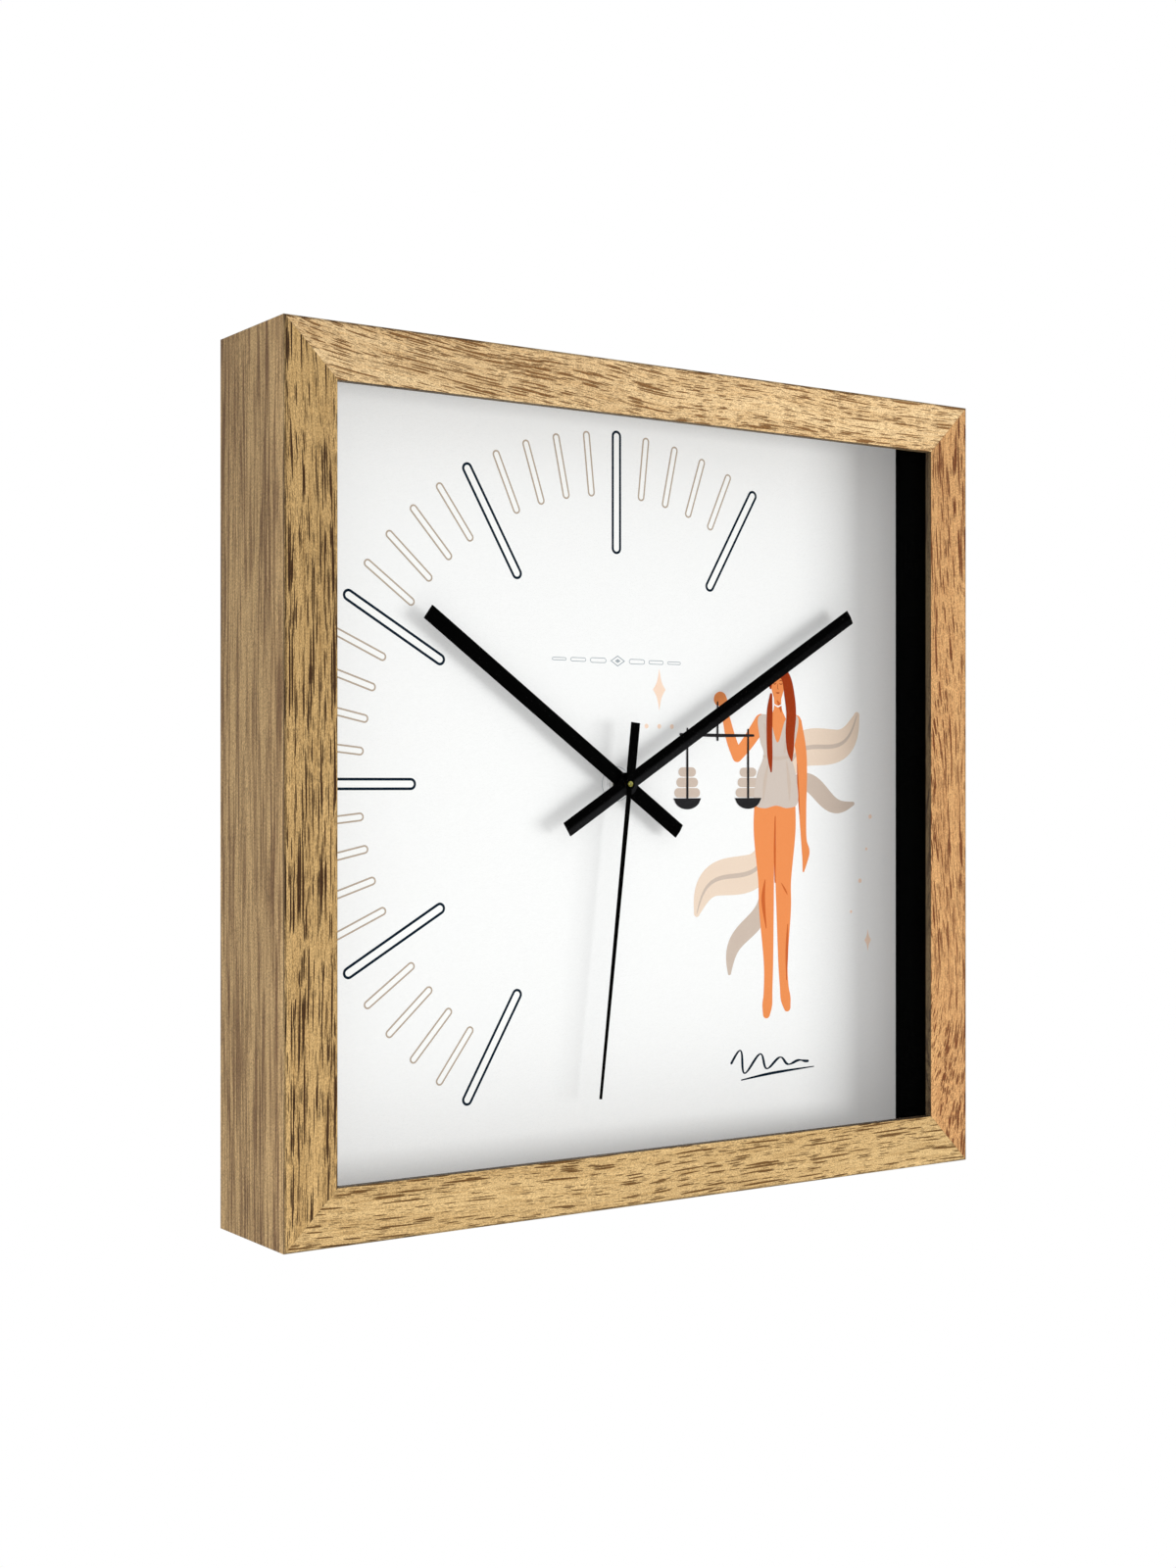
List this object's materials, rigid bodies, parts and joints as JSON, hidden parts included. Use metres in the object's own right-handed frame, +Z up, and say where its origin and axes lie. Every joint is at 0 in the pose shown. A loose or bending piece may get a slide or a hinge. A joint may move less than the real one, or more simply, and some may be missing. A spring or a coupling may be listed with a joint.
{
  "type": "wall clock",
  "caption": "Square wall clock: mitred wooden box frame, flat front glass, black inner spacers, printed dial, three bar hands and a battery quartz movement with a rear keyhole hanger.",
  "frame": {"origin": "where the axis of the hands meets the wall plane, at the back of the rails", "axes": "+Y points from the clock into the wall and the dial faces -Y; +Z is up, towards 12 on the dial; +X is to the right as seen from the front"},
  "size_m": [0.3048, 0.0492, 0.3048],
  "materials": {
    "oak": "satin",
    "nail_steel": "satin",
    "clear_glass": "gloss",
    "black_spacer": "matte",
    "printed_sheet": "matte",
    "fibreboard": "matte",
    "bracket_steel": "satin",
    "rubber_pad": "matte",
    "case_plastic": "matte",
    "brass": "polished",
    "nut_lacquer": "satin",
    "acetal": "satin",
    "arbor_steel": "polished",
    "cannon_brass": "satin",
    "stator_iron": "matte",
    "copper_wire": "gloss",
    "screw_steel": "satin",
    "magnet": "satin",
    "circuit": "satin",
    "chip_epoxy": "gloss",
    "crystal_can": "polished",
    "contact_nickel": "satin",
    "cell_wrap": "gloss",
    "hand_black": "satin",
    "knob_plastic": "satin"
  },
  "bodies": {
    "case": {"top_rail": "oak", "bottom_rail": "oak", "left_rail": "oak", "right_rail": "oak", "corner_nails": "nail_steel", "retaining_points": "nail_steel", "front_glass": "clear_glass", "spacer_top": "black_spacer", "spacer_bottom": "black_spacer", "spacer_left": "black_spacer", "spacer_right": "black_spacer", "dial_print": "printed_sheet", "dial_board": "fibreboard", "hanger_bracket": "bracket_steel", "bracket_screws": "bracket_steel", "mounting_pad": "rubber_pad", "movement_case": "case_plastic", "movement_cover": "case_plastic", "threaded_bush": "brass", "fixing_nut": "nut_lacquer", "middle_plate": "acetal", "stator": "stator_iron", "coil_core": "stator_iron", "coil_bobbin": "acetal", "coil_winding": "copper_wire", "coil_screws": "screw_steel", "circuit_board": "circuit", "timer_chip": "chip_epoxy", "quartz_crystal": "crystal_can", "contact_positive": "contact_nickel", "contact_negative": "contact_nickel"},
    "minute": {"cannon_pinion": "cannon_brass", "centre_wheel": "acetal", "minute_hand": "hand_black", "minute_hub": "hand_black"},
    "hour": {"hour_wheel": "acetal", "hour_hand": "hand_black", "hour_hub": "hand_black"},
    "second": {"seconds_pinion": "arbor_steel", "seconds_wheel": "acetal", "second_hand": "hand_black", "hand_eyelet": "brass"},
    "third": {"third_pinion": "arbor_steel", "third_wheel": "acetal"},
    "intermediate": {"intermediate_pinion": "acetal", "intermediate_wheel": "acetal"},
    "rotor": {"rotor_pinion": "acetal", "rotor_magnet": "magnet"},
    "setting": {"minute_wheel": "acetal", "setting_knob": "knob_plastic"},
    "cell": {"battery": "cell_wrap"}
  },
  "joints": [
    {"name": "minute_spin", "type": "hinge", "parent": "case", "child": "minute", "pos_m": [0, 0, 0], "axis": [0, 1, 0], "continuous": true},
    {"name": "hour_spin", "type": "hinge", "parent": "case", "child": "hour", "pos_m": [0, 0, 0], "axis": [0, 1, 0], "continuous": true},
    {"name": "second_spin", "type": "hinge", "parent": "case", "child": "second", "pos_m": [0, 0, 0], "axis": [0, 1, 0], "continuous": true},
    {"name": "third_spin", "type": "hinge", "parent": "case", "child": "third", "pos_m": [0.0055, 0, 0.00953], "axis": [0, 1, 0], "continuous": true},
    {"name": "intermediate_spin", "type": "hinge", "parent": "case", "child": "intermediate", "pos_m": [0.00677, 0, -0.00246], "axis": [0, 1, 0], "continuous": true},
    {"name": "rotor_spin", "type": "hinge", "parent": "case", "child": "rotor", "pos_m": [0.01366, 0, -0.00368], "axis": [0, 1, 0], "continuous": true},
    {"name": "setting_spin", "type": "hinge", "parent": "case", "child": "setting", "pos_m": [-0.01039, 0, 0.006], "axis": [0, 1, 0], "continuous": true},
    {"name": "battery_slide", "type": "slide", "parent": "case", "child": "cell", "axis": [0, 1, 0], "range_m": [0, 0.02]}
  ],
  "couplings": [
    {"joint": "hour_spin", "follows": "minute_spin", "ratio": 0.083333},
    {"joint": "second_spin", "follows": "minute_spin", "ratio": 60},
    {"joint": "third_spin", "follows": "minute_spin", "ratio": -8},
    {"joint": "intermediate_spin", "follows": "minute_spin", "ratio": -300},
    {"joint": "rotor_spin", "follows": "minute_spin", "ratio": 1800},
    {"joint": "setting_spin", "follows": "minute_spin", "ratio": -0.33333}
  ]
}
